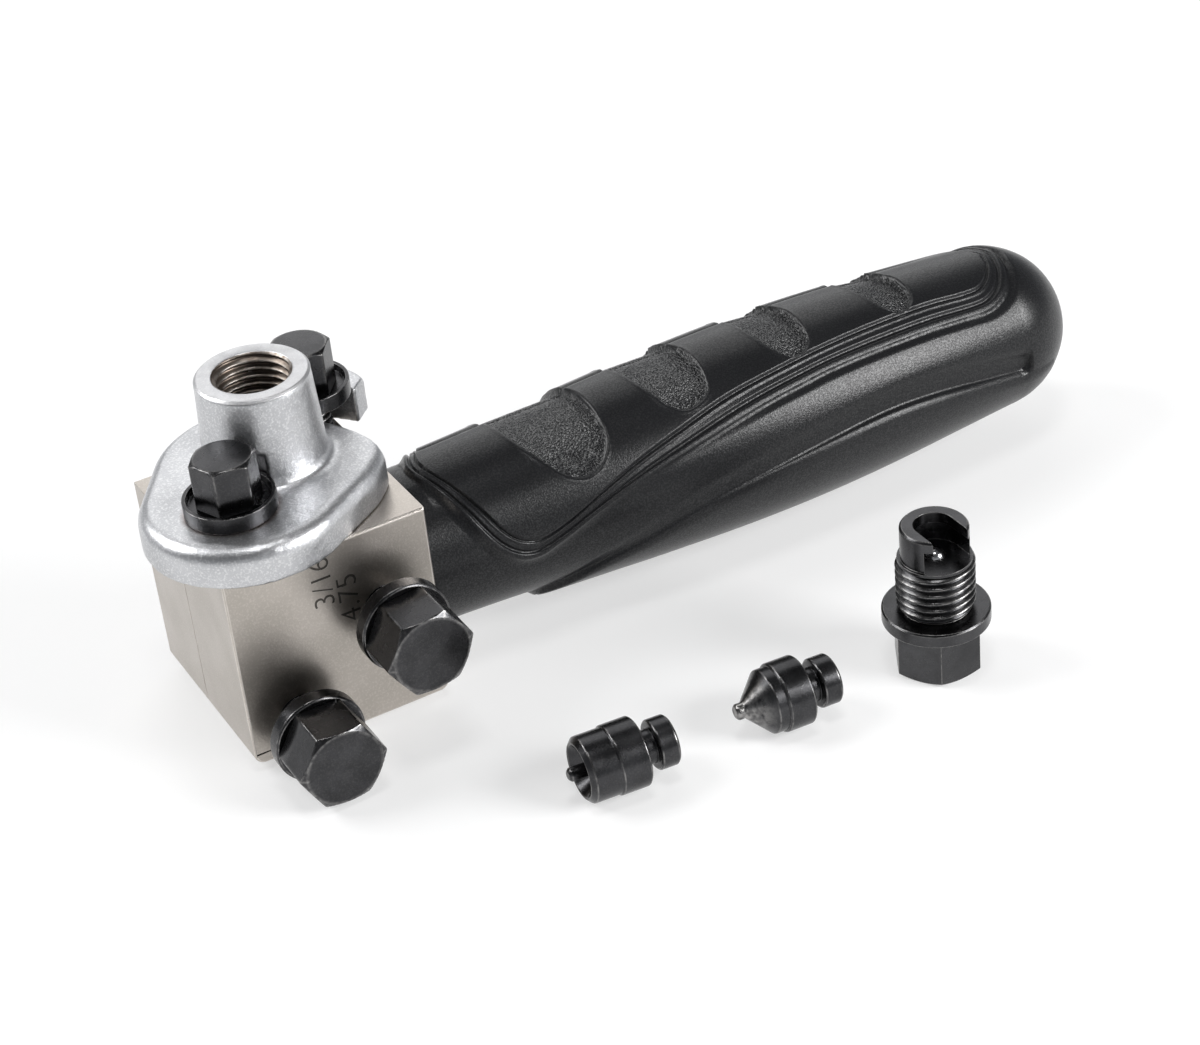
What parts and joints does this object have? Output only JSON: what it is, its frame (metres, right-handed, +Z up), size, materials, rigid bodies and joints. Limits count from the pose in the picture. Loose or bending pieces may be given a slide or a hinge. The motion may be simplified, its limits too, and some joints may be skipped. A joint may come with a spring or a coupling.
{
  "type": "double flaring tool",
  "caption": "Hand tool with a split die block, swinging threaded cap, side grip, forcing screw and punches for double flares on brake tube.",
  "frame": {"origin": "on the axis of the tube bore, at the bottom face of the die block", "axes": "+X from the die block along the handle, +Y from the front die half to the rear one, +Z up through the boss"},
  "size_m": [0.1908, 0.0994, 0.0643],
  "materials": {
    "nickel_plate": "satin nickel plate",
    "cast_steel": "bright zinc over a cast skin",
    "black_oxide": "black oxide, oiled",
    "ground_steel": "ground",
    "polished_steel": "polished",
    "grip_plastic": "satin moulded, stippled scoops"
  },
  "bodies": {
    "root": {"die_front": "nickel_plate", "guide_pins": "ground_steel", "handle_shank": "ground_steel", "grip": "grip_plastic"},
    "rear_jaw": {"die_rear": "nickel_plate"},
    "cap": {"cap": "cast_steel"},
    "pivot_collar": {"pivot_washer": "black_oxide"},
    "pivot_screw": {"pivot_bolt": "black_oxide"},
    "lock_collar": {"lock_washer": "black_oxide"},
    "lock_screw": {"lock_bolt": "black_oxide"},
    "left_collar": {"clamp_washer_left": "black_oxide"},
    "left_screw": {"clamp_bolt_left": "black_oxide"},
    "right_collar": {"clamp_washer_right": "black_oxide"},
    "right_screw": {"clamp_bolt_right": "black_oxide"},
    "forcing_screw": {"forcing_screw": "black_oxide", "detent_spring": "ground_steel"},
    "detent_ball": {"detent_ball": "polished_steel"},
    "flare_cup": {"flare_cup": "black_oxide"},
    "flare_cone": {"flare_cone": "black_oxide"}
  },
  "joints": [
    {"name": "jaw_open", "type": "slide", "parent": "root", "child": "rear_jaw", "axis": [0, 1, 0], "range_m": [0, 0.0019]},
    {"name": "cap_swing", "type": "hinge", "parent": "root", "child": "cap", "pos_m": [-0.0117, -0.0117, 0.0386], "axis": [0, 0, 1], "range_deg": [0, 110]},
    {"name": "pivot_lift", "type": "slide", "parent": "root", "child": "pivot_collar", "axis": [0, 0, 1], "range_m": [0, 0.0025]},
    {"name": "pivot_turn", "type": "hinge", "parent": "pivot_collar", "child": "pivot_screw", "pos_m": [-0.0117, -0.0117, 0.0386], "axis": [0, 0, 1], "range_deg": [-1, 721]},
    {"name": "lock_lift", "type": "slide", "parent": "rear_jaw", "child": "lock_collar", "axis": [0, 0, 1], "range_m": [-0.0011, 0.00125]},
    {"name": "lock_turn", "type": "hinge", "parent": "lock_collar", "child": "lock_screw", "pos_m": [0.01352, 0.01248, 0.0386], "axis": [0, 0, 1], "range_deg": [-318, 361]},
    {"name": "clamp_left_feed", "type": "slide", "parent": "rear_jaw", "child": "left_collar", "axis": [0, -1, 0], "range_m": [-0.005, 0.00125]},
    {"name": "clamp_left_turn", "type": "hinge", "parent": "left_collar", "child": "left_screw", "pos_m": [-0.00935, -0.0212, 0.0067], "axis": [0, -1, 0], "range_deg": [-1441, 361]},
    {"name": "clamp_right_feed", "type": "slide", "parent": "rear_jaw", "child": "right_collar", "axis": [0, -1, 0], "range_m": [-0.005, 0.00125]},
    {"name": "clamp_right_turn", "type": "hinge", "parent": "right_collar", "child": "right_screw", "pos_m": [0.00935, -0.0212, 0.0221], "axis": [0, -1, 0], "range_deg": [-1441, 361]},
    {"name": "screw_lift_off", "type": "slide", "parent": "root", "child": "forcing_screw", "axis": [0, 0, 1], "range_m": [0, 0.08]},
    {"name": "ball_press", "type": "slide", "parent": "forcing_screw", "child": "detent_ball", "axis": [0, 0, -1], "range_m": [0, 0.0009], "stiffness_N_per_m": 600, "springref_m": -0.002, "deforming": ["detent_spring"]},
    {"name": "cup_lift_off", "type": "slide", "parent": "root", "child": "flare_cup", "axis": [0, 0, 1], "range_m": [0, 0.08]},
    {"name": "cone_lift_off", "type": "slide", "parent": "root", "child": "flare_cone", "axis": [0, 0, 1], "range_m": [0, 0.08]}
  ],
  "couplings": [
    {"joint": "pivot_turn", "follows": "pivot_lift", "rad_per_m": 5026.5},
    {"joint": "lock_turn", "follows": "lock_lift", "rad_per_m": 5026.5},
    {"joint": "clamp_left_turn", "follows": "clamp_left_feed", "rad_per_m": 5026.5},
    {"joint": "clamp_right_turn", "follows": "clamp_right_feed", "rad_per_m": 5026.5}
  ]
}
